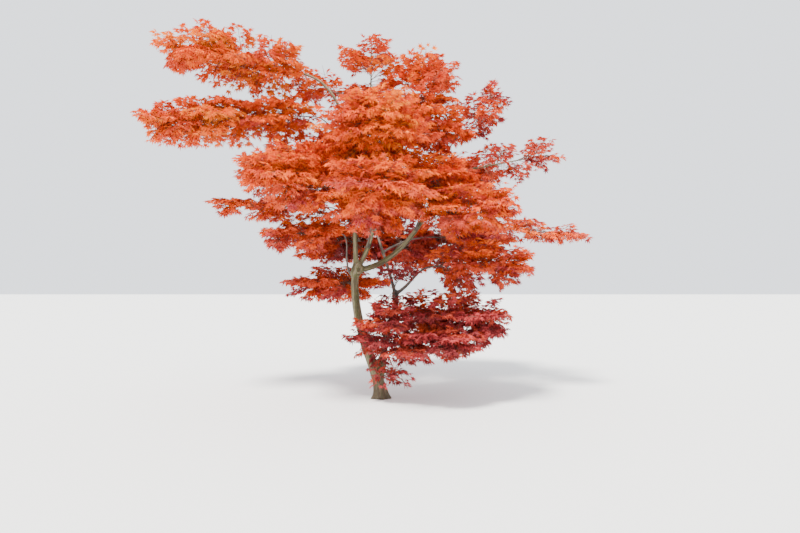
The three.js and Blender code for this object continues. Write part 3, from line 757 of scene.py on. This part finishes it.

# The leaves: palmate, with five pointed lobes folded along their midribs, drooping tips and a thin
# stalk, in opposite pairs along every twiglet. The leaves of a twig share nearly one autumn tint, by
# their place in the crown: crimson low down, red within and below, orange above and outside. That is
# partly the tree's own autumn colour and partly painted light and shade: paler at the top of each spray
# and outside where light falls, redder below and within where shade falls.
LEAF, LEAF_SIZES = 0.053, (0.72, 1.12)  # length of the middle lobe, and its range in that length
LEAF_GAP = 0.035  # length of twiglet for each pair
FIRST_PAIR, PAIR_SCATTER = 0.22, 0.04  # shares of a twiglet
LEAF_ANGLE = (48, 16)  # degrees from the twiglet, as mean and scatter
END_PLACE, END_ANGLE = 0.95, 0.6  # leaves past that share of a twiglet turn only so much of it
LEAF_LIFT, LEAF_TILT = (-0.12, 0.26), 0.32  # mean and scatter of its rise, and scatter of its tilt
LEAF_WIDTHS, LEAF_DROOPS = (0.85, 1.1), (0.3, 2.0)  # ranges, where 1 is the leaf as drawn
CLEAR_OF_WOOD = 0.02  # from a limb's skin to the nearest leaf
CROWN_MIDDLE, HALF_CROWN, WITHIN = (-0.1, 0, 2.0), 2, 0.6  # leaves past that share of the half are paler, and those within it redder, as painted light and shade
LIT_TOP_TINT, LIT_OUTSIDE_TINT, TWIG_TINT = 0.22, 0.1, 0.5  # how much each of these changes a leaf's tint; the first two are painted light and shade
# One leaf, in lengths of its middle lobe: each lobe's length by its angle from the midrib, how far its
# tip hangs down, the notches' distance from the palm and their rise, and the heel and stalk.
LOBES = {-90: 0.66, -42: 0.92, 0: 1.0, 42: 0.92, 90: 0.66}
TIP_DROOP = 0.2
NOTCH, NOTCH_MORE, NOTCH_RISE = 0.36, 0.06, 0.07
HEEL_ANGLE, HEEL, HEEL_RISE = 150, 0.14, 0.02
STALK, STALK_HALF_WIDTH, STALK_RISE = 0.42, 0.012, 0.03
MOST_TRIANGLES = 195000  # in one piece
TINTS = [
    ("maroon", "8E3436", "leaves_maroon"),
    ("crimson", "B44042", "leaves_crimson"),
    ("scarlet", "C54A38", "leaves_red"),
    ("vermilion", "D4512C", "leaves_red"),
    ("burnt_orange", "E2591C", "leaves_orange"),
    ("orange", "F06A1A", "leaves_orange"),
    ("amber", "F77F1C", "leaves_orange"),
]
DARKER, PALER, PALE_LIFT = (0.72, 0.55, 0.6), (1.22, 1.45, 1.3), 0.01  # what patches make of a tint


def leaf_outline():
    """One flat leaf that points along +X with its palm at the origin: lobe tips and the notches between
    them, then the stalk's two corners. The notches stand up and the tips hang down."""
    tips = list(LOBES.items())
    rim = [(-HEEL_ANGLE, HEEL, HEEL_RISE)]
    for k, (angle, length) in enumerate(tips):
        rim.append((angle, length, -TIP_DROOP * length**2))
        if k < len(tips) - 1:
            next_angle, next_length = tips[k + 1]
            notch = NOTCH * min(length, next_length) + NOTCH_MORE
            rim.append(((angle + next_angle) / 2, notch, NOTCH_RISE))
    rim.append((HEEL_ANGLE, HEEL, HEEL_RISE))
    a, r, z = np.array(rim).T
    points = np.stack([np.cos(np.radians(a)) * r, np.sin(np.radians(a)) * r, z], -1)
    stalk = [[-STALK, STALK_HALF_WIDTH, STALK_RISE], [-STALK, -STALK_HALF_WIDTH, STALK_RISE]]
    points = np.vstack([[[0, 0, 0]], points, stalk])
    last = len(rim)
    faces = [(0, k, k + 1) for k in range(1, last)] + [(0, last + 1, last + 2)]
    return points, np.array(faces)


def grow_leaves(name, root, tip, owner, twig_count):
    """Leaves in opposite pairs along a spray's twiglets, but for those in its rivals' space or at a
    limb's skin: their palms, forward directions, lengths and tints."""
    space = spaces[name]
    twig_draw = rng.random(twig_count)
    span = np.linalg.norm(tip - root, axis=1)
    pairs = np.maximum(np.round(span / LEAF_GAP * fullness[name]).astype(int), 1)
    shoot = np.repeat(np.arange(len(root)), pairs * 2)
    order = np.concatenate([np.arange(2 * n) for n in pairs])
    place = FIRST_PAIR + (1 - FIRST_PAIR) * (order // 2 + 1) / pairs[shoot]
    place += rng.normal(0, PAIR_SCATTER, len(place))
    hand = np.where(order % 2, 1.0, -1.0)
    way = unit(tip - root)[shoot]
    node = root[shoot] + (tip - root)[shoot] * place[:, None]
    side = unit(np.cross(way, ALMOST_UP)) * hand[:, None]
    turn = rng.normal(*LEAF_ANGLE, len(shoot)) * np.where(place > END_PLACE, END_ANGLE, 1)
    turn = np.radians(turn)[:, None]
    rise = rng.normal(*LEAF_LIFT, len(shoot))[:, None]
    forward = unit(way * np.cos(turn) + side * np.sin(turn) + UP * rise)
    length = LEAF * rng.uniform(*LEAF_SIZES, len(shoot))
    palm = node + forward * (length * STALK)[:, None]
    keep = owned(name, palm)
    for limb in limbs.values():
        near = (palm > limb.low - CLEAR_OF_WOOD).all(1) & (palm < limb.high + CLEAR_OF_WOOD).all(1)
        spots = np.flatnonzero(keep & near)
        if len(spots):
            keep[spots[limb.distance(palm[spots]) < CLEAR_OF_WOOD]] = False
    # Painted light and shade in the tints: leaves high in their spray and far out in the crown are paler, low
    # and inner ones redder.
    lift = ((palm - space.centre) @ space.above) / space.deep
    outward = np.linalg.norm(palm - CROWN_MIDDLE, axis=1) / HALF_CROWN - WITHIN
    by_place_and_light = tint_of[name] + LIT_TOP_TINT * lift + LIT_OUTSIDE_TINT * outward
    tint = by_place_and_light + TWIG_TINT * (twig_draw[owner][shoot] - 0.5)
    return palm[keep], forward[keep], length[keep], tint[keep]


leaf_points, leaf_faces = leaf_outline()
leaves = [grow_leaves(*shoot) for shoot in shoots]
palms, forwards, lengths, tints = (np.concatenate(column) for column in zip(*leaves))


def leaf_corners(palm, forward, length):
    """Every corner of many leaves: the outline turned to lie along its forward direction, nearly
    level, rolled and hung a little differently each time."""
    count = len(palm)
    up = unit(UP + rng.normal(0, LEAF_TILT, (count, 3)))
    across = unit(np.cross(up, forward))
    face = np.cross(forward, across)
    shape = np.broadcast_to(leaf_points, (count, *leaf_points.shape)) * length[:, None, None]
    width, droop = rng.uniform(*LEAF_WIDTHS, count), rng.uniform(*LEAF_DROOPS, count)
    shape = shape * np.stack([np.ones(count), width, droop], -1)[:, None]
    placed = shape[..., :1] * forward[:, None] + shape[..., 1:2] * across[:, None]
    placed += shape[..., 2:] * face[:, None]
    return (placed + palm[:, None]).reshape(-1, 3)


def leaf_finish(name, tint):
    """Thin autumn leaf: its tint mottled darker towards red and paler in small patches, with a soft
    gloss and a fine crinkle."""
    finish = Finish(name)
    place = finish.place()
    patches = finish.speckle(place, scale=55, detail=2)
    crinkle = finish.speckle(place, scale=320, detail=2)
    dark = tuple(c * f for c, f in zip(tint, DARKER))
    light = tuple(min(c * f + PALE_LIFT, 1) for c, f in zip(tint, PALER))
    finish.give(Base_Color=finish.mix(patches, dark, light), Roughness=0.5 + crinkle * 0.25)
    finish.give(Normal=finish.bump(0.35, 0.002, crinkle), Specular_IOR_Level=0.12)
    return finish.material


most_leaves = MOST_TRIANGLES // len(leaf_faces)
level = np.clip((tints * len(TINTS)).astype(int), 0, len(TINTS) - 1)
spray_nodes = {slot: [] for _, _, slot in TINTS}
for name in (n for n in spaces if n not in NO_CAD_NODE):
    middle = int(np.clip(tint_of[name] * len(TINTS), 0, len(TINTS) - 1))
    spray_nodes[TINTS[middle][2]].append(f"foliage_{name}")
for k, (tint_name, colour, slot) in enumerate(TINTS):
    chosen = np.flatnonzero(level == k)
    finish = leaf_finish(f"{tint_name} leaf", linear(colour))
    for part in range(0, len(chosen), most_leaves):
        some = chosen[part : part + most_leaves]
        corners = leaf_corners(palms[some], forwards[some], lengths[some])
        starts = np.arange(len(some))[:, None, None] * len(leaf_points)
        faces = (leaf_faces + starts).reshape(-1, 3)
        number = part // most_leaves + 1
        piece = make_piece(f"leaves_{tint_name}_{number}", corners, np.zeros((0, 4), int), faces, False)
        piece.data.materials.append(finish)
        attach(piece, "root")
        if spray_nodes[slot]:
            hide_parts(*spray_nodes[slot])
            spray_nodes[slot] = []

# The ground: a plain pale floor under the tree, and soft daylight with one broad light from the upper
# left in front.
FLOOR_SIDE, FLOOR_NEAR, FLOOR_FAR = 60, -20, 60
floor_mesh = bpy.data.meshes.new("floor")
near_edge = [(-FLOOR_SIDE, FLOOR_NEAR, 0), (FLOOR_SIDE, FLOOR_NEAR, 0)]
far_edge = [(FLOOR_SIDE, FLOOR_FAR, 0), (-FLOOR_SIDE, FLOOR_FAR, 0)]
floor_mesh.from_pydata(near_edge + far_edge, [], [(0, 1, 2, 3)])
floor = bpy.data.objects.new("floor", floor_mesh)
bpy.context.scene.collection.objects.link(floor)
floor_finish = Finish("pale floor")
floor_finish.give(Base_Color=(0.8, 0.8, 0.78, 1), Roughness=0.9)
floor.data.materials.append(floor_finish.material)

world = bpy.data.worlds.new("sky")
world.use_nodes = True
world.node_tree.nodes["Background"].inputs["Color"].default_value = (0.9, 0.94, 1, 1)
world.node_tree.nodes["Background"].inputs["Strength"].default_value = 2.1
bpy.context.scene.world = world
sun_data = bpy.data.lights.new("daylight", "SUN")
sun_data.energy = 10.0
sun_data.angle = 0.22
sun_data.color = (1, 0.97, 0.92)
sun = bpy.data.objects.new("daylight", sun_data)
sun.rotation_euler = (np.radians(32), 0, np.radians(-28))
bpy.context.scene.collection.objects.link(sun)
